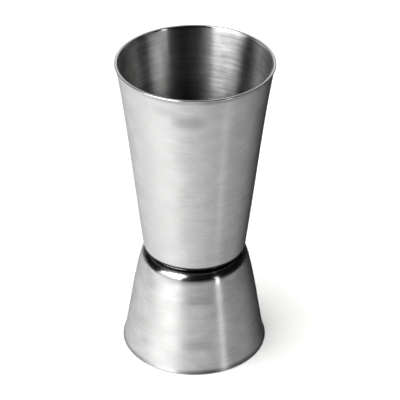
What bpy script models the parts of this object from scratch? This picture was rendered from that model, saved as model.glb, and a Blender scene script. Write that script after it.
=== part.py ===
# Bar jigger: two drawn stainless steel cups, 40 ml above and 20 ml below, that stand bottom
# to bottom and are held together by three resistance welds hidden between the bottoms.
# Metres, +Z up. The origin is the centre of the ring that the lower rim stands on.

from math import atan, cos, pi, sin, sqrt

import bmesh
import bpy
from mathutils import Matrix, Vector

# The sheet that both cups are drawn from
WALL = 0.00070              # thickness
CORNER_RADIUS = 0.00220     # outside radius where a wall turns into the bottom
RIM_ROUND = 0.00020         # rounding of the two edges of a rim; a flat land stays between
SEAM = 0.00030              # gap between the two bottoms, which the welds bridge

# The upper cup, 40 ml
UPPER_HEIGHT = 0.05360      # outside of the bottom to the rim
UPPER_BASE_RADIUS = 0.01310  # outside, where the wall starts above the corner
UPPER_RIM_RADIUS = 0.01950  # outside, at the rim without its lip
UPPER_FLARE = 0.00070       # how far the wall opens out beyond a cone near the rim
UPPER_TUCK = 0.00022        # how far the wall pulls in below a cone near the bottom
UPPER_LIP = 0.00022         # how far the rim's lip stands out

# The lower cup, 20 ml
LOWER_HEIGHT = 0.02720
LOWER_BASE_RADIUS = 0.01380
LOWER_RIM_RADIUS = 0.01852
LOWER_FLARE = 0.00015
LOWER_TUCK = 0.00058
LOWER_LIP = 0.00028

LIP_HEIGHT = 0.00130        # height of wall over which a lip turns out

# The welds between the bottoms
WELD_COUNT = 3
WELD_CIRCLE_RADIUS = 0.00600  # from the axis to the middle of a weld
NUGGET_RADIUS = 0.00170
NUGGET_THICKNESS = 0.00040
NUGGET_CLEARANCE = 0.00030  # between a nugget and the pocket it fused into

# Fineness of the meshes
TURN_STEPS = 80
WALL_SPANS = 6
LIP_SPANS = 3
CORNER_SPANS = 4
ROUND_SPANS = 2
NUGGET_STEPS = 24

BEND_POWER = 5              # keeps a flare and a tuck close to the ends of the wall
FAR_ROUND = 2 * pi


def clear_scene():
    for old in list(bpy.data.objects):
        bpy.data.objects.remove(old, do_unlink=True)


def steel(name, colour, roughness):
    material = bpy.data.materials.new(name)
    material.use_nodes = True
    shader = material.node_tree.nodes["Principled BSDF"]
    shader.inputs["Base Color"].default_value = (*colour, 1.0)
    shader.inputs["Metallic"].default_value = 1.0
    shader.inputs["Roughness"].default_value = roughness
    return material


class CupWall:
    """The outline of one cup that stands on its bottom, with heights from that bottom."""

    def __init__(self, height, base_radius, rim_radius, flare, tuck, lip):
        self.height = height
        self.base_radius = base_radius
        self.flare = flare
        self.tuck = tuck
        self.lip = lip
        self.cone = rim_radius - base_radius - flare - tuck
        self.start = CORNER_RADIUS
        # The wall's slope at the corner and the height it starts at depend on each other.
        for _ in range(4):
            self.lean = atan(self.slope(self.start))
            self.start = CORNER_RADIUS * (1 - sin(self.lean))
        self.corner_centre = Vector(
            (base_radius - CORNER_RADIUS * cos(self.lean), 0, CORNER_RADIUS)
        )

    def share(self, z):
        """How far up the wall a height is, from 0 at the corner to 1 at the rim."""
        return (z - self.start) / (self.height - self.start)

    def lip_share(self, z):
        """How far up its lip a height is, from 0 at the lip's root to 1 at the rounding."""
        return max(0.0, 1 - (self.height - RIM_ROUND - z) / LIP_HEIGHT)

    def outer_radius(self, z):
        up = self.share(z)
        return (
            self.base_radius
            + self.cone * up
            + self.flare * up**BEND_POWER
            + self.tuck * (1 - (1 - up) ** BEND_POWER)
            + self.lip * self.lip_share(z) ** 2
        )

    def slope(self, z):
        up = self.share(z)
        per_share = (
            self.cone
            + BEND_POWER * self.flare * up ** (BEND_POWER - 1)
            + BEND_POWER * self.tuck * (1 - up) ** (BEND_POWER - 1)
        )
        lip_slope = 2 * self.lip * self.lip_share(z) / LIP_HEIGHT
        return per_share / (self.height - self.start) + lip_slope

    def inner_radius(self, z):
        return self.outer_radius(z) - WALL * sqrt(1 + self.slope(z) ** 2)

    def heights(self, lowest):
        """Heights of the wall's points, from the corner up to the rim's rounding."""
        top = self.height - RIM_ROUND
        lip_root = top - LIP_HEIGHT
        plain = [lowest + (lip_root - lowest) * i / WALL_SPANS for i in range(WALL_SPANS)]
        lipped = [lip_root + (top - lip_root) * i / LIP_SPANS for i in range(LIP_SPANS + 1)]
        return plain + lipped

    def corner(self, radius):
        """The corner's arc from the bottom up to the wall, without its last point."""
        arc = []
        for i in range(CORNER_SPANS):
            turn = (pi / 2 - self.lean) * i / CORNER_SPANS
            arc.append(self.corner_centre + Vector((radius * sin(turn), 0, -radius * cos(turn))))
        return arc

    def rim(self):
        """The rounded edge from the inside of the wall over the flat land to the outside."""
        top = self.height - RIM_ROUND
        inside = self.inner_radius(top) + RIM_ROUND
        outside = self.outer_radius(top) - RIM_ROUND
        edge = []
        for centre, start in ((inside, pi), (outside, pi / 2)):
            for i in range(ROUND_SPANS + 1):
                turn = start - pi / 2 * i / ROUND_SPANS
                edge.append(Vector((centre + RIM_ROUND * cos(turn), 0, top + RIM_ROUND * sin(turn))))
        return edge[1:-1]

    def outline(self):
        """Half the cup's section, from the middle of the floor over the rim to the bottom."""
        inner_corner = CORNER_RADIUS - WALL
        inner_start = self.corner_centre.z - inner_corner * sin(self.lean)
        inside = [Vector((0, 0, WALL))] + self.corner(inner_corner)
        inside += [Vector((self.inner_radius(z), 0, z)) for z in self.heights(inner_start)]
        outside = [Vector((0, 0, 0))] + self.corner(CORNER_RADIUS)
        outside += [Vector((self.outer_radius(z), 0, z)) for z in self.heights(self.start)]
        return inside + self.rim() + outside[::-1]


def turned(name, outline, material):
    """A closed solid turned about Z from an outline that starts and ends on the axis."""
    mesh = bpy.data.meshes.new(name)
    shape = bmesh.new()
    points = [shape.verts.new(point) for point in outline]
    for first, second in zip(points, points[1:]):
        shape.edges.new((first, second))
    shape.to_mesh(mesh)
    shape.free()
    piece = bpy.data.objects.new(name, mesh)
    bpy.context.collection.objects.link(piece)
    piece.data.materials.append(material)

    turn = piece.modifiers.new("turn", "SCREW")
    turn.axis = "Z"
    turn.angle = FAR_ROUND
    turn.steps = TURN_STEPS
    turn.render_steps = TURN_STEPS
    turn.use_merge_vertices = True
    turn.merge_threshold = 0.00001
    turn.use_smooth_shade = True
    return piece


def weld_places():
    for i in range(WELD_COUNT):
        turn = FAR_ROUND * i / WELD_COUNT + pi / 2
        yield i + 1, WELD_CIRCLE_RADIUS * cos(turn), WELD_CIRCLE_RADIUS * sin(turn)


def pocket_cutter(name, seam_middle):
    """One drum for each weld, which leaves a pocket in both bottoms around its nugget."""
    mesh = bpy.data.meshes.new(name)
    drums = bmesh.new()
    for _, x, y in weld_places():
        bmesh.ops.create_cone(
            drums,
            cap_ends=True,
            segments=NUGGET_STEPS,
            radius1=NUGGET_RADIUS + NUGGET_CLEARANCE,
            radius2=NUGGET_RADIUS + NUGGET_CLEARANCE,
            depth=NUGGET_THICKNESS + 2 * NUGGET_CLEARANCE,
            matrix=Matrix.Translation((x, y, seam_middle)),
        )
    drums.to_mesh(mesh)
    drums.free()
    cutter = bpy.data.objects.new(name, mesh)
    bpy.context.collection.objects.link(cutter)
    cutter.hide_render = True
    cutter.display_type = "WIRE"
    return cutter


def cut_pockets(cup, cutter):
    cut = cup.modifiers.new("weld_pockets", "BOOLEAN")
    cut.operation = "DIFFERENCE"
    cut.solver = "EXACT"
    cut.object = cutter


def weld_nugget(number, x, y, seam_middle, material):
    """A lens of fused steel between the two bottoms."""
    name = f"weld_nugget_{number}"
    mesh = bpy.data.meshes.new(name)
    lens = bmesh.new()
    bmesh.ops.create_uvsphere(
        lens, u_segments=NUGGET_STEPS, v_segments=NUGGET_STEPS // 3, radius=NUGGET_RADIUS
    )
    flatten = NUGGET_THICKNESS / 2 / NUGGET_RADIUS
    bmesh.ops.scale(lens, vec=(1, 1, flatten), verts=lens.verts)
    lens.to_mesh(mesh)
    lens.free()
    mesh.shade_smooth()
    nugget = bpy.data.objects.new(name, mesh)
    nugget.location = (x, y, seam_middle)
    bpy.context.collection.objects.link(nugget)
    nugget.data.materials.append(material)


def build():
    clear_scene()
    brushed = steel("brushed_steel", (0.60, 0.60, 0.59), 0.32)
    fused = steel("weld_steel", (0.42, 0.41, 0.40), 0.50)

    lower_wall = CupWall(
        LOWER_HEIGHT, LOWER_BASE_RADIUS, LOWER_RIM_RADIUS, LOWER_FLARE, LOWER_TUCK, LOWER_LIP
    )
    upper_wall = CupWall(
        UPPER_HEIGHT, UPPER_BASE_RADIUS, UPPER_RIM_RADIUS, UPPER_FLARE, UPPER_TUCK, UPPER_LIP
    )
    seam_middle = LOWER_HEIGHT + SEAM / 2
    upper_bottom = LOWER_HEIGHT + SEAM

    # The lower cup stands on its rim, so its outline is turned over and read backwards.
    overturned = [Vector((p.x, 0, LOWER_HEIGHT - p.z)) for p in reversed(lower_wall.outline())]
    lifted = [Vector((p.x, 0, upper_bottom + p.z)) for p in upper_wall.outline()]

    pockets = pocket_cutter("weld_pocket_cutter", seam_middle)
    for name, outline in (("lower_cup", overturned), ("upper_cup", lifted)):
        cut_pockets(turned(name, outline, brushed), pockets)
    for number, x, y in weld_places():
        weld_nugget(number, x, y, seam_middle, fused)


build()
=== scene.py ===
from math import atan, atan2, cos, pi, radians, sin, sqrt

import bmesh
import bpy
from mathutils import Matrix, Vector, noise


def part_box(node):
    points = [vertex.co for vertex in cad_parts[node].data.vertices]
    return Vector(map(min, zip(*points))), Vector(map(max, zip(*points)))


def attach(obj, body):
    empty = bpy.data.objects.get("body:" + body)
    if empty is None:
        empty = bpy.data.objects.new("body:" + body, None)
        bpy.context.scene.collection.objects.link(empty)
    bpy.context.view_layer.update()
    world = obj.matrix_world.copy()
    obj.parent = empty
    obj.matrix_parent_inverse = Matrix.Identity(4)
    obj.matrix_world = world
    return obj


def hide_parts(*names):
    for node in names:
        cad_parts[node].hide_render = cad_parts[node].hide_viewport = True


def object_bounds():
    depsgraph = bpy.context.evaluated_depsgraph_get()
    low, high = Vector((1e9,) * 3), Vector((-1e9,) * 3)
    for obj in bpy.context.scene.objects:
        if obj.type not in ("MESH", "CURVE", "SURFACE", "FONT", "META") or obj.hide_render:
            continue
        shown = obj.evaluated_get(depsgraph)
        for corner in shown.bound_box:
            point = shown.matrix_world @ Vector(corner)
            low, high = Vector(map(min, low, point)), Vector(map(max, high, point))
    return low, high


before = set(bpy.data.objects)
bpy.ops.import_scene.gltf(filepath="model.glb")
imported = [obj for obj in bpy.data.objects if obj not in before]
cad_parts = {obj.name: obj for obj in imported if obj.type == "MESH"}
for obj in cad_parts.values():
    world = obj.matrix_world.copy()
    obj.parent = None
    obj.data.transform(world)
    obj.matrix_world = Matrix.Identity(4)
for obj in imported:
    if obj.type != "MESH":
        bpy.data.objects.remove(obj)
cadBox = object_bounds()
print("frame loaded")

# The steel that both cups are drawn from, in metres
sheet = {
    "thickness": 0.00070,
    "cornerRadius": 0.00220,   # outside, where a wall turns into the bottom
    "rimRound": 0.00020,       # rounding of a rim's two edges
    "lipHeight": 0.00130,      # stretch below the rim that turns outwards
    "bendPower": 5,            # keeps a flare and a tuck near the ends of the wall
    "slopeRounds": 4,          # how often the wall's start and its slope there are settled
    "turnSteps": 256,
    "wallSpans": 44,
    "lipSpans": 7,
    "cornerSpans": 10,
    "roundSpans": 4,
    "floorSpans": 30,
    "mergeDistance": 0.000001,
    "wobble": 0.000012,        # how far the drawn wall strays from a true circle
    "wobbleRound": 1.4,        # how closely that changes round the axis
    "wobbleSize": 0.011,
    "wobbleUp": 0.35,          # how closely it changes up the wall, for each wobbleSize
    "wobbleFade": 0.0044,      # it grows from nothing over this height above the bottom
}

upperCup = {
    "baseRadius": 0.01310,     # outside, where the wall starts above the corner
    "flare": 0.00070,          # opens out beyond a cone near the rim
    "tuck": 0.00022,           # pulls in below a cone near the bottom
    "lip": 0.00022,            # how far the rim's lip stands out
    "wobbleSeed": (0.4, 5.2, 2.6),
}

lowerCup = {
    "baseRadius": 0.01380,
    "flare": 0.00015,
    "tuck": 0.00058,
    "lip": 0.00028,
    "wobbleSeed": (3.7, 1.3, 8.1),
}

weldMarks = {
    "count": 3,
    "circleRadius": 0.0060,    # the welds lie on this circle between the bottoms
    "markRadius": 0.0021,      # the dimple that the electrode leaves on the floor
    "depth": 0.00007,
    "edgePower": 4,            # a higher one gives a flatter dimple with a steeper edge
}


def wallShape(cup, node):
    # Adds to a cup's settings what follows from its CAD node's box.
    low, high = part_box(node)
    cup["height"] = high.z - low.z
    cup["lowZ"], cup["highZ"] = low.z, high.z
    rimRadius = (high.x - low.x) / 2 - cup["lip"]
    cup["cone"] = rimRadius - cup["baseRadius"] - cup["flare"] - cup["tuck"]
    cup["start"] = sheet["cornerRadius"]
    for _ in range(sheet["slopeRounds"]):
        cup["lean"] = atan(wallSlope(cup, cup["start"]))
        cup["start"] = sheet["cornerRadius"] * (1 - sin(cup["lean"]))
    return cup


def wallShare(cup, z):
    # 0 where the wall starts above the corner, 1 at the rim
    return (z - cup["start"]) / (cup["height"] - cup["start"])


def lipShare(cup, z):
    # 0 at the lip's root and below it, 1 where the rim's rounding starts
    return max(0.0, 1 - (cup["height"] - sheet["rimRound"] - z) / sheet["lipHeight"])


def outerRadius(cup, z):
    up = wallShare(cup, z)
    power = sheet["bendPower"]
    flare = cup["flare"] * up**power
    tuck = cup["tuck"] * (1 - (1 - up) ** power)
    lip = cup["lip"] * lipShare(cup, z) ** 2
    return cup["baseRadius"] + cup["cone"] * up + flare + tuck + lip


def wallSlope(cup, z):
    up = wallShare(cup, z)
    power = sheet["bendPower"]
    bends = power * (cup["flare"] * up ** (power - 1) + cup["tuck"] * (1 - up) ** (power - 1))
    lipSlope = 2 * cup["lip"] * lipShare(cup, z) / sheet["lipHeight"]
    return (cup["cone"] + bends) / (cup["height"] - cup["start"]) + lipSlope


def innerRadius(cup, z):
    return outerRadius(cup, z) - sheet["thickness"] * sqrt(1 + wallSlope(cup, z) ** 2)


def steps(first, last, count):
    return [first + (last - first) * i / count for i in range(count)]


def cupOutline(cup):
    # Half a section of a cup that stands on its bottom, as stretches of (radius, height) points,
    # from the middle of the floor over the rim and back to the middle of the bottom.
    corner, lean = sheet["cornerRadius"], cup["lean"]
    innerCorner = corner - sheet["thickness"]
    centreX = cup["baseRadius"] - corner * cos(lean)
    rimRound = sheet["rimRound"]
    top = cup["height"] - rimRound
    lipRoot = top - sheet["lipHeight"]

    def bottom(z):
        return [(r, z) for r in steps(0, centreX, sheet["floorSpans"])]

    def arc(radius):
        turns = steps(0, pi / 2 - lean, sheet["cornerSpans"])
        return [(centreX + radius * sin(turn), corner - radius * cos(turn)) for turn in turns]

    def wall(lowest, radiusAt):
        heights = steps(lowest, lipRoot, sheet["wallSpans"]) + steps(lipRoot, top, sheet["lipSpans"])
        return [(radiusAt(cup, z), z) for z in heights]

    def edge(centre, start):
        turns = steps(start, start - pi / 2, sheet["roundSpans"]) + [start - pi / 2]
        return [(centre + rimRound * cos(turn), top + rimRound * sin(turn)) for turn in turns]

    innerEdge = edge(innerRadius(cup, top) + rimRound, pi)
    outerEdge = edge(outerRadius(cup, top) - rimRound, pi / 2)
    return [
        ("floor", bottom(sheet["thickness"])),
        ("innerCorner", arc(innerCorner)),
        ("innerWall", wall(corner - innerCorner * sin(lean), innerRadius)),
        ("rim", innerEdge + outerEdge),
        ("outerWall", wall(cup["start"], outerRadius)[::-1]),
        ("outerCorner", arc(corner)[::-1]),
        ("bottom", bottom(0)[::-1]),
    ]


def turnCup(name, cup, upsideDown):
    # Turns the outline about Z. "along" carries the distance along the outline to the UV map.
    shape = bmesh.new()
    along = shape.verts.layers.float.new("along")
    ends, distance, last = {}, 0.0, None
    for stretch, points in cupOutline(cup):
        for radius, height in points:
            vert = shape.verts.new((radius, 0, height))
            if last:
                distance += (vert.co - last.co).length
                shape.edges.new((last, vert))
            vert[along] = distance
            last = vert
        ends[stretch] = distance
    bmesh.ops.spin(
        shape, geom=shape.verts[:] + shape.edges[:], cent=(0, 0, 0), axis=(0, 0, 1),
        angle=2 * pi, steps=sheet["turnSteps"], use_merge=True,
    )
    bmesh.ops.remove_doubles(shape, verts=shape.verts, dist=sheet["mergeDistance"])
    bmesh.ops.recalc_face_normals(shape, faces=shape.faces)
    markFloor(shape, along, ends["floor"], upsideDown)
    strayFromRound(shape, Vector(cup["wobbleSeed"]))
    paintZones(shape, along, ends)
    mapAround(shape, along, ends["outerWall"])
    lift = cup["lowZ"]
    if upsideDown:
        turnedOver = Matrix.Rotation(pi, 3, "X")
        bmesh.ops.rotate(shape, verts=shape.verts, cent=(0, 0, 0), matrix=turnedOver)
        lift = cup["highZ"]
    bmesh.ops.translate(shape, verts=shape.verts, vec=(0, 0, lift))
    mesh = bpy.data.meshes.new(name)
    shape.to_mesh(mesh)
    shape.free()
    mesh.shade_smooth()
    piece = bpy.data.objects.new(name, mesh)
    bpy.context.scene.collection.objects.link(piece)
    return piece


def markFloor(shape, along, floorEnd, upsideDown):
    # The electrodes press a shallow dimple into the floor at each weld. A cup that is turned over
    # about X afterwards gets them on the other side of X.
    side = -1 if upsideDown else 1
    for vert in shape.verts:
        if vert[along] > floorEnd:
            continue
        for i in range(weldMarks["count"]):
            turn = 2 * pi * i / weldMarks["count"] + pi / 2
            centre = Vector((cos(turn), side * sin(turn), 0)) * weldMarks["circleRadius"]
            away = (Vector((vert.co.x, vert.co.y, 0)) - centre).length / weldMarks["markRadius"]
            if away < 1:
                vert.co.z -= weldMarks["depth"] * (1 - away ** weldMarks["edgePower"])


def strayFromRound(shape, seed):
    # Inside and outside of the sheet move together, so its thickness stays.
    for vert in shape.verts:
        radius = sqrt(vert.co.x**2 + vert.co.y**2)
        if radius < sheet["cornerRadius"]:
            continue
        outwards = Vector((vert.co.x, vert.co.y, 0)) / radius
        up = vert.co.z / sheet["wobbleSize"] * sheet["wobbleUp"]
        place = outwards * sheet["wobbleRound"] + Vector((0, 0, up))
        fade = min(1.0, vert.co.z / sheet["wobbleFade"])
        vert.co += outwards * (noise.noise(place + seed) * sheet["wobble"] * fade)


def paintZones(shape, along, ends):
    # Material 0 is the outside, 1 the rim, 2 the inside.
    for face in shape.faces:
        middle = sum(vert[along] for vert in face.verts) / len(face.verts)
        if middle <= ends["innerWall"]:
            face.material_index = 2
        elif middle <= ends["rim"]:
            face.material_index = 1


def mapAround(shape, along, cornerStart):
    # U goes once round the axis. V is metres along the sheet, from where the outer wall ends.
    around = shape.loops.layers.uv.new("around")
    for face in shape.faces:
        middle = face.calc_center_median()
        faceTurn = atan2(middle.y, middle.x)
        for loop in face.loops:
            vert = loop.vert
            if vert.co.xy.length < sheet["mergeDistance"]:
                turn = faceTurn
            else:
                turn = atan2(vert.co.y, vert.co.x)
                turn += 2 * pi * round((faceTurn - turn) / (2 * pi))
            loop[around].uv = (turn / (2 * pi) + 0.5, vert[along] - cornerStart)


def aim(azimuth, elevation):
    # The direction towards a side, where azimuth 0 is -Y and positive is towards +X
    turn, lift = radians(azimuth), radians(elevation)
    return Vector((sin(turn) * cos(lift), -cos(turn) * cos(lift), sin(lift)))


# The first four are noises, with how closely each lies across the piece and along the sheet.
brushing = {
    "fine": {"across": 110, "lengthways": 3400, "seed": 0.0, "detail": 3.0, "roughness": 0.6},
    "broad": {"across": 30, "lengthways": 900, "seed": 7.3, "detail": 3.0, "roughness": 0.6},
    "clouds": {
        "across": 190, "lengthways": 260, "seed": 3.1, "detail": 3.5, "roughness": 0.6,
        "distortion": 0.2,
    },
    "brushEnds": {"across": 1500, "lengthways": 60, "seed": 5.7, "detail": 2.0},
    "fineShare": 0.70,
    "wipedEdge": (0.90, 0.985),    # by the cosine of the angle to the wiped side
    "wanderLeast": 0.08,        # the share of a polish's wander along the middle of the front
    "wanderFrom": 0.0095,       # this far to the left and right it starts to grow
    "wanderTo": 0.0130,         # and is whole
    "lineRoughness": 0.16,
    "cloudRoughness": 0.10,
    "polishedRoughness": 0.20,
    "paintedGrooveShade": 0.10,        # painted shade where the two bottoms meet
    "smearTurn": 0.25,          # a quarter turn, so that light smears across the lines
}

upperFinish = {
    "colour": (0.62, 0.62, 0.615),
    "roughness": 0.38,
    "anisotropy": 0.85,
    "lineTone": 0.50,           # how much the lines change the colour
    "cloudTone": 0.60,
    "lineHeight": 0.000004,
    "wipedSide": -34,           # clean here, by azimuth
    "wipedShare": 0.35,         # what is left of the lines and clouds there
    "smudges": (                # azimuth, metres along the sheet, half width, half height, depth
        (-5, -0.0455, 16, 0.0030, 0.30),
        (-22, -0.0480, 12, 0.0022, 0.16),
    ),
    "polish": (-0.0002, 0.0),   # metres along the sheet, where it starts and where it is whole
    "polishWander": 0.0,
    "groove": (0.0, 0.0002),    # the same for the painted groove shade
    "paintedShades": (),               # painted shade below a height: from, to, and the shade at the lower one
    "seed": 0.0,
}

lowerFinish = {
    "colour": (0.62, 0.62, 0.615),
    "roughness": 0.38,
    "anisotropy": 0.85,
    "lineTone": 0.62,
    "cloudTone": 0.85,
    "lineHeight": 0.000004,
    "wipedSide": -26,
    "wipedShare": 0.45,
    "smudges": ((6, -0.0052, 18, 0.0022, 0.24), (3, -0.0176, 17, 0.0030, 0.24)),
    "polish": (-0.0026, -0.0003),
    "polishWander": 0.0026,
    "groove": (0.0027, 0.0032),
    "paintedShades": ((0.0, 0.0013, 0.66),),    # painted shade on the edge that it stands on, for the shaded floor it would reflect
    "seed": 12.0,
}

# Both cups share it. Below the tall cup's mouth, and all over the short cup's inside, the colour
# is darkened with painted shade, which grows deeper into the cup.
insideFinish = {
    "colour": (0.60, 0.60, 0.595),
    "roughness": 0.32,
    "anisotropy": 1.0,
    "lineTone": 1.6,
    "cloudTone": 0.95,
    "lineHeight": 0.000005,
    "wipedSide": -168,
    "wipedShare": 0.55,
    "smudges": (),
    "polish": (-0.0002, 0.0),
    "polishWander": 0.0,
    "groove": (0.0, 0.0002),
    "paintedShades": ((0.0625, 0.0710, 0.55),),
    "seed": 21.0,
}

rimFinish = {
    "colour": (0.68, 0.68, 0.675),
    "roughness": 0.14,
}

shadedStandingRimFinish = {           # darker with painted shade for the shaded floor it would reflect, and rougher from sliding
    "colour": (0.52, 0.52, 0.515),
    "roughness": 0.22,
}

buffing = {
    "lines": {"across": 160, "lengthways": 2600, "seed": 0.0, "detail": 3.0},
    "roughness": 0.10,          # from the smoothest line to the roughest
}


class Nodes:
    # A few short ways to add shader nodes to a material or a world and join them.
    def __init__(self, owner):
        owner.use_nodes = True
        self.owner = owner
        self.tree = owner.node_tree
        self.shader = self.tree.nodes.get("Principled BSDF")

    def add(self, kind, **settings):
        node = self.tree.nodes.new(kind)
        for key, value in settings.items():
            setattr(node, key, value)
        return node

    def join(self, source, target):
        self.tree.links.new(source, target)

    def maths(self, operation, first, second=None, third=None):
        node = self.add("ShaderNodeMath", operation=operation)
        for socket, value in zip(node.inputs, (first, second, third)):
            if isinstance(value, bpy.types.NodeSocket):
                self.join(value, socket)
            elif value is not None:
                socket.default_value = value
        return node.outputs[0]

    def vectors(self, operation, first, second=None):
        node = self.add("ShaderNodeVectorMath", operation=operation)
        self.join(first, node.inputs[0])
        if second is not None:
            node.inputs[1].default_value = second
        return node.outputs

    def ramp(self, value, low, high, toLow=0.0, toHigh=1.0):
        node = self.add("ShaderNodeMapRange", interpolation_type="SMOOTHSTEP")
        self.join(value, node.inputs["Value"])
        node.inputs["From Min"].default_value = low
        node.inputs["From Max"].default_value = high
        node.inputs["To Min"].default_value = toLow
        node.inputs["To Max"].default_value = toHigh
        return node.outputs[0]

    def split(self, vector):
        node = self.add("ShaderNodeSeparateXYZ")
        self.join(vector, node.inputs[0])
        return node.outputs

    def objectPlace(self):
        return self.add("ShaderNodeTexCoord").outputs["Object"]

    def sheetDistance(self):
        return self.split(self.add("ShaderNodeUVMap", uv_map="around").outputs[0])["Y"]

    def facing(self, azimuth):
        # The cosine of the angle round the axis from a side
        flat = self.vectors("MULTIPLY", self.objectPlace(), (1, 1, 0))
        outwards = self.vectors("NORMALIZE", flat[0])
        return self.vectors("DOT_PRODUCT", outwards[0], aim(azimuth, 0))["Value"]

    def layer(self, settings, seed=0.0):
        # A noise over X and Y of the piece and the distance along the sheet, each times a scale,
        # so that it becomes long arcs round the axis where the last scale is much the larger.
        shift = seed + settings["seed"]
        xyz = self.split(self.objectPlace())
        space = self.add("ShaderNodeCombineXYZ")
        self.join(self.maths("MULTIPLY_ADD", xyz["X"], settings["across"], shift), space.inputs["X"])
        self.join(self.maths("MULTIPLY_ADD", xyz["Y"], settings["across"], shift), space.inputs["Y"])
        upwards = self.maths("MULTIPLY", self.sheetDistance(), settings["lengthways"])
        self.join(upwards, space.inputs["Z"])
        node = self.add("ShaderNodeTexNoise", noise_dimensions="3D")
        node.inputs["Scale"].default_value = 1.0
        node.inputs["Detail"].default_value = settings["detail"]
        node.inputs["Roughness"].default_value = settings.get("roughness", 0.5)
        node.inputs["Distortion"].default_value = settings.get("distortion", 0.0)
        self.join(space.outputs[0], node.inputs["Vector"])
        return node.outputs[0]

    def offMiddle(self, value, share):
        # How far a noise is from its middle value, times a share
        return self.maths("MULTIPLY", self.maths("SUBTRACT", value, 0.5), share)


def polishedShare(nodes, settings, along):
    # The brushing fades out near the end of a wall, in strokes that end unevenly, most of all at
    # the piece's left and right. A noise is a half on average, so the reach is doubled.
    sideways = nodes.maths("ABSOLUTE", nodes.split(nodes.objectPlace())["X"])
    least = brushing["wanderLeast"]
    sides = nodes.ramp(sideways, brushing["wanderFrom"], brushing["wanderTo"], least, 1.0)
    brushEnds = nodes.layer(brushing["brushEnds"], settings["seed"])
    reach = nodes.maths("MULTIPLY", sides, settings["polishWander"])
    reached = nodes.maths("MULTIPLY_ADD", brushEnds, nodes.maths("MULTIPLY", reach, -2.0), along)
    return nodes.ramp(reached, *settings["polish"])


def brushedFinish(name, settings):
    # Fine arcs round the axis, with faint cloudy handling marks over them. The brushing fades
    # into a polished corner, and the groove between the bottoms is darkened with painted shade.
    nodes = Nodes(bpy.data.materials.new(name))
    shader = nodes.shader
    shader.inputs["Metallic"].default_value = 1.0
    shader.inputs["Anisotropic"].default_value = settings["anisotropy"]
    shader.inputs["Anisotropic Rotation"].default_value = brushing["smearTurn"]
    tangent = nodes.add("ShaderNodeTangent", direction_type="UV_MAP", uv_map="around")
    nodes.join(tangent.outputs[0], shader.inputs["Tangent"])

    fine = nodes.layer(brushing["fine"], settings["seed"])
    broad = nodes.layer(brushing["broad"], settings["seed"])
    clouds = nodes.layer(brushing["clouds"], settings["seed"])
    finer = nodes.maths("SUBTRACT", fine, broad)
    lines = nodes.maths("MULTIPLY_ADD", finer, brushing["fineShare"], broad)
    cleaned = nodes.facing(settings["wipedSide"])
    left = nodes.ramp(cleaned, *brushing["wipedEdge"], 1.0, settings["wipedShare"])
    lineShare = nodes.offMiddle(lines, left)
    cloudShare = nodes.offMiddle(clouds, left)

    along = nodes.sheetDistance()
    rough = nodes.maths("MULTIPLY_ADD", lineShare, brushing["lineRoughness"], settings["roughness"])
    rough = nodes.maths("MULTIPLY_ADD", cloudShare, brushing["cloudRoughness"], rough)
    smoother = nodes.maths("SUBTRACT", brushing["polishedRoughness"], rough)
    rough = nodes.maths("MULTIPLY_ADD", smoother, polishedShare(nodes, settings, along), rough)
    nodes.join(rough, shader.inputs["Roughness"])

    tone = nodes.maths("MULTIPLY_ADD", lineShare, settings["lineTone"], 1.0)
    tone = nodes.maths("MULTIPLY_ADD", cloudShare, settings["cloudTone"], tone)
    for azimuth, place, halfWidth, halfHeight, depth in settings["smudges"]:
        across = nodes.ramp(nodes.facing(azimuth), cos(radians(halfWidth)), 1.0)
        offset = nodes.maths("ABSOLUTE", nodes.maths("SUBTRACT", along, place))
        blot = nodes.maths("MULTIPLY", across, nodes.ramp(offset, 0.0, halfHeight, 1.0, 0.0))
        tone = nodes.maths("MULTIPLY_ADD", nodes.maths("MULTIPLY", blot, clouds), -2 * depth, tone)
    # painted shade below given heights: deep inside the cups, and along the edge the short cup
    # stands on
    height = nodes.split(nodes.objectPlace())["Z"]
    for low, high, shade in settings["paintedShades"]:
        tone = nodes.maths("MULTIPLY", tone, nodes.ramp(height, low, high, shade, 1.0))
    # painted shade: the colour is darkened in the groove between the bottoms
    groove = nodes.ramp(along, *settings["groove"], 1.0, brushing["paintedGrooveShade"])
    colour = nodes.add("ShaderNodeVectorMath", operation="SCALE")
    colour.inputs[0].default_value = settings["colour"]
    nodes.join(nodes.maths("MULTIPLY", tone, groove), colour.inputs["Scale"])
    nodes.join(colour.outputs[0], shader.inputs["Base Color"])

    bump = nodes.add("ShaderNodeBump")
    bump.inputs["Strength"].default_value = 1.0
    bump.inputs["Distance"].default_value = settings["lineHeight"]
    nodes.join(lines, bump.inputs["Height"])
    nodes.join(bump.outputs[0], shader.inputs["Normal"])
    return nodes.owner


def rimPolish(name, settings):
    # The sheet's own edge, bright from handling, with the faintest buffing lines.
    nodes = Nodes(bpy.data.materials.new(name))
    shader = nodes.shader
    shader.inputs["Metallic"].default_value = 1.0
    shader.inputs["Base Color"].default_value = (*settings["colour"], 1)
    smoothest = settings["roughness"] - buffing["roughness"] / 2
    lines = nodes.layer(buffing["lines"])
    rough = nodes.maths("MULTIPLY_ADD", lines, buffing["roughness"], smoothest)
    nodes.join(rough, shader.inputs["Roughness"])
    return nodes.owner


rimSteel = rimPolish("rimSteel", rimFinish)
# the standing rim's darker colour is painted shade, a painted reflection of the shaded floor at its
# foot
shadedStandingRimSteel = rimPolish("shadedStandingRimSteel", shadedStandingRimFinish)
insideSteel = brushedFinish("insideSteel", insideFinish)
print("finishes made")

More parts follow.
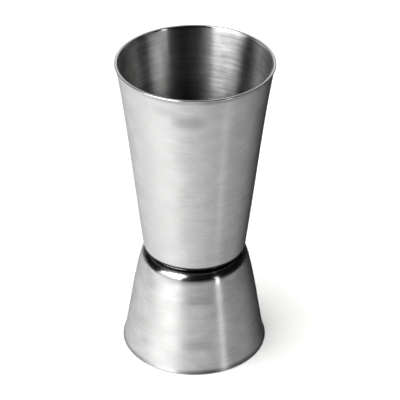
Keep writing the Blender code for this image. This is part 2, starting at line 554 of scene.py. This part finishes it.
for name, node, cup, finish, rim, upsideDown in (
    ("upperCupShell", "upper_cup", upperCup, upperFinish, rimSteel, False),
    ("lowerCupShell", "lower_cup", lowerCup, lowerFinish, shadedStandingRimSteel, True),
):
    piece = turnCup(name, wallShape(cup, node), upsideDown)
    piece.data.materials.append(brushedFinish(name + "Steel", finish))
    piece.data.materials.append(rim)
    piece.data.materials.append(insideSteel)
    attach(piece, "root")
    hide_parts(node)
    print(name, "turned")

# The welds, out of sight between the bottoms
weld = {
    "colour": (0.36, 0.34, 0.32),
    "heat": (0.24, 0.19, 0.16),
    "roughness": 0.45,          # where the grain is least
    "grain": 2500,
    "grainRoughness": 0.2,      # how much rougher it is where the grain is most
}


def weldFinish():
    nodes = Nodes(bpy.data.materials.new("weldSteel"))
    shader = nodes.shader
    shader.inputs["Metallic"].default_value = 1.0
    grain = nodes.add("ShaderNodeTexNoise")
    nodes.join(nodes.objectPlace(), grain.inputs["Vector"])
    grain.inputs["Scale"].default_value = weld["grain"]
    tint = nodes.add("ShaderNodeMix", data_type="RGBA")
    nodes.join(grain.outputs[0], tint.inputs["Factor"])
    tint.inputs["A"].default_value = (*weld["colour"], 1)
    tint.inputs["B"].default_value = (*weld["heat"], 1)
    nodes.join(tint.outputs["Result"], shader.inputs["Base Color"])
    rough = nodes.maths("MULTIPLY_ADD", grain.outputs[0], weld["grainRoughness"], weld["roughness"])
    nodes.join(rough, shader.inputs["Roughness"])
    return nodes.owner


weldSteel = weldFinish()
for i in range(weldMarks["count"]):
    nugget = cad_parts[f"weld_nugget_{i + 1}"]
    nugget.data.materials.clear()
    nugget.data.materials.append(weldSteel)
print("welds finished")

view = {
    "elevation": 32.53,
    "distance": 0.4813,
    "lookHeight": 0.0414,
    "lens": 171.0,
    "sensorWidth": 36,
    "roll": 0.225,
    "shiftX": 0.01343,
    "clip": (0.01, 20),
}

studio = {
    "floorSize": 8.0,
    "floorColour": (0.82, 0.82, 0.81),
    "floorRoughness": 0.9,
    "backdrop": 1.2,           # what the camera sees past the floor
    "benchGlow": 1.5,
    "benchShares": (           # how bright the bench is by azimuth; 180 is the same as -180
        (-180, 0.28), (-150, 0.50), (-118, 0.84), (-70, 1.05), (-25, 1.20), (10, 0.97),
        (60, 0.56), (95, 0.38), (125, 0.14), (145, 0.02), (165, 0.04),
    ),
    "benchTop": (-0.30, -0.04),    # the bench's glow ends between these slopes of sight
    "benchNear": (-0.97, -0.62),   # and starts between these
    "benchLift": (-105, 0.16),     # on this side its top edge is higher by this slope
    "roomGlow": 0.006,
    "backGlow": 0.12,
    "backSide": -170,
    "backEdge": (0.7, 1.0),        # by the cosine of the angle to that side
    "panelDistance": 0.8,
}

# Upright panels of light, with heights from where the camera looks. Azimuth 0 is the camera's
# side, positive is to its right.
panels = {
    "softBox": {"azimuth": -52.5, "width": 0.80, "low": 0.06, "high": 0.49, "glow": 1.04},
    "softBoxTop": {"azimuth": -54.5, "width": 0.68, "low": 0.49, "high": 2.40, "glow": 9.8},
    "strip": {"azimuth": 46.0, "width": 0.10, "low": -0.32, "high": 0.44, "glow": 1.9},
    "rimCard": {"azimuth": 180, "width": 0.60, "low": 0.40, "high": 0.64, "glow": 0.8},
}
fill = {"azimuth": -60, "elevation": 64, "strength": 5.9, "spread": 98}


def layFloor():
    shape = bmesh.new()
    bmesh.ops.create_grid(shape, x_segments=1, y_segments=1, size=studio["floorSize"] / 2)
    bmesh.ops.translate(shape, verts=shape.verts, vec=(0, 0, cadBox[0][2]))
    mesh = bpy.data.meshes.new("studioFloor")
    shape.to_mesh(mesh)
    shape.free()
    floor = bpy.data.objects.new("studioFloor", mesh)
    bpy.context.scene.collection.objects.link(floor)
    paper = Nodes(bpy.data.materials.new("paleFloor"))
    paper.shader.inputs["Base Color"].default_value = (*studio["floorColour"], 1)
    paper.shader.inputs["Roughness"].default_value = studio["floorRoughness"]
    mesh.materials.append(paper.owner)
    floor.visible_glossy = False


def addPanel(name, panel):
    # An evenly lit upright rectangle that only the metal sees: power is glow times area times pi.
    data = bpy.data.lights.new(name, "AREA")
    data.shape = "RECTANGLE"
    data.size, data.size_y = panel["width"], panel["high"] - panel["low"]
    data.energy = panel["glow"] * data.size * data.size_y * pi
    away = aim(panel["azimuth"], 0)
    lamp = bpy.data.objects.new(name, data)
    middle = (panel["high"] + panel["low"]) / 2
    lamp.location = away * studio["panelDistance"] + Vector((0, 0, view["lookHeight"] + middle))
    lamp.rotation_euler = away.to_track_quat("Z", "Y").to_euler()
    lamp.visible_camera = False
    lamp.visible_diffuse = False
    bpy.context.scene.collection.objects.link(lamp)


def addFill():
    # A wide sky for the floor alone, from the soft box's side, so that the shadow stays short.
    data = bpy.data.lights.new("fill", "SUN")
    data.energy = fill["strength"]
    data.angle = radians(fill["spread"])
    lamp = bpy.data.objects.new("fill", data)
    lamp.rotation_euler = aim(fill["azimuth"], fill["elevation"]).to_track_quat("Z", "Y").to_euler()
    lamp.visible_camera = False
    lamp.visible_glossy = False
    bpy.context.scene.collection.objects.link(lamp)


def lightRoom():
    # The camera sees a pale backdrop. The object sees a dark room over a bench that is bright on
    # the soft box's side.
    nodes = Nodes(bpy.data.worlds.new("room"))
    bpy.context.scene.world = nodes.owner
    nodes.tree.nodes.clear()
    across, deep, high = nodes.split(nodes.add("ShaderNodeTexCoord").outputs["Generated"])

    def towards(azimuth):
        side = aim(azimuth, 0)
        return nodes.maths("MULTIPLY_ADD", across, side.x, nodes.maths("MULTIPLY", deep, side.y))

    azimuth = nodes.maths("ARCTAN2", across, nodes.maths("MULTIPLY", deep, -1.0))
    shares = nodes.add("ShaderNodeValToRGB")
    nodes.join(nodes.maths("MULTIPLY_ADD", azimuth, 0.5 / pi, 0.5), shares.inputs[0])
    stops = shares.color_ramp.elements
    firstShare = studio["benchShares"][0][1]
    stops[0].color = stops[1].color = (firstShare, firstShare, firstShare, 1)
    for degrees, share in studio["benchShares"][1:]:
        stops.new(degrees / 360 + 0.5).color = (share, share, share, 1)
    bench = nodes.maths("MULTIPLY", shares.outputs[0], studio["benchGlow"])

    near = nodes.ramp(high, *studio["benchNear"])
    liftSide, liftBy = studio["benchLift"]
    liftShare = nodes.maths("MAXIMUM", towards(liftSide), 0.0)
    lowered = nodes.maths("MULTIPLY_ADD", liftShare, -liftBy, high)
    window = nodes.maths("MULTIPLY", near, nodes.ramp(lowered, *studio["benchTop"], 1.0, 0.0))
    back = towards(studio["backSide"])
    behind = nodes.ramp(back, *studio["backEdge"], studio["roomGlow"], studio["backGlow"])
    glow = nodes.maths("MULTIPLY_ADD", bench, window, behind)

    seen, felt = nodes.add("ShaderNodeBackground"), nodes.add("ShaderNodeBackground")
    seen.inputs["Strength"].default_value = studio["backdrop"]
    seen.inputs["Color"].default_value = (1, 1, 1, 1)
    felt.inputs["Color"].default_value = (1, 1, 1, 1)
    nodes.join(glow, felt.inputs["Strength"])
    path, mix = nodes.add("ShaderNodeLightPath"), nodes.add("ShaderNodeMixShader")
    nodes.join(path.outputs["Is Camera Ray"], mix.inputs[0])
    nodes.join(felt.outputs[0], mix.inputs[1])
    nodes.join(seen.outputs[0], mix.inputs[2])
    out = nodes.add("ShaderNodeOutputWorld")
    nodes.join(mix.outputs[0], out.inputs[0])


layFloor()
lightRoom()
for name, panel in panels.items():
    addPanel(name, panel)
addFill()
print("studio lit")


def placeCamera():
    data = bpy.data.cameras.new("camera")
    data.lens = view["lens"]
    data.sensor_width = view["sensorWidth"]
    data.shift_x = view["shiftX"]
    data.clip_start, data.clip_end = view["clip"]
    lift = radians(view["elevation"])
    away = Vector((0, -cos(lift), sin(lift)))
    level = away.to_track_quat("Z", "Y").to_matrix()
    roll = Matrix.Rotation(radians(view["roll"]), 3, "Z")
    camera = bpy.data.objects.new("camera", data)
    camera.location = Vector((0, 0, view["lookHeight"])) + away * view["distance"]
    camera.rotation_euler = (level @ roll).to_euler()
    bpy.context.scene.collection.objects.link(camera)
    bpy.context.scene.camera = camera


placeCamera()
bpy.context.scene.view_settings.view_transform = "Standard"
print("camera placed")
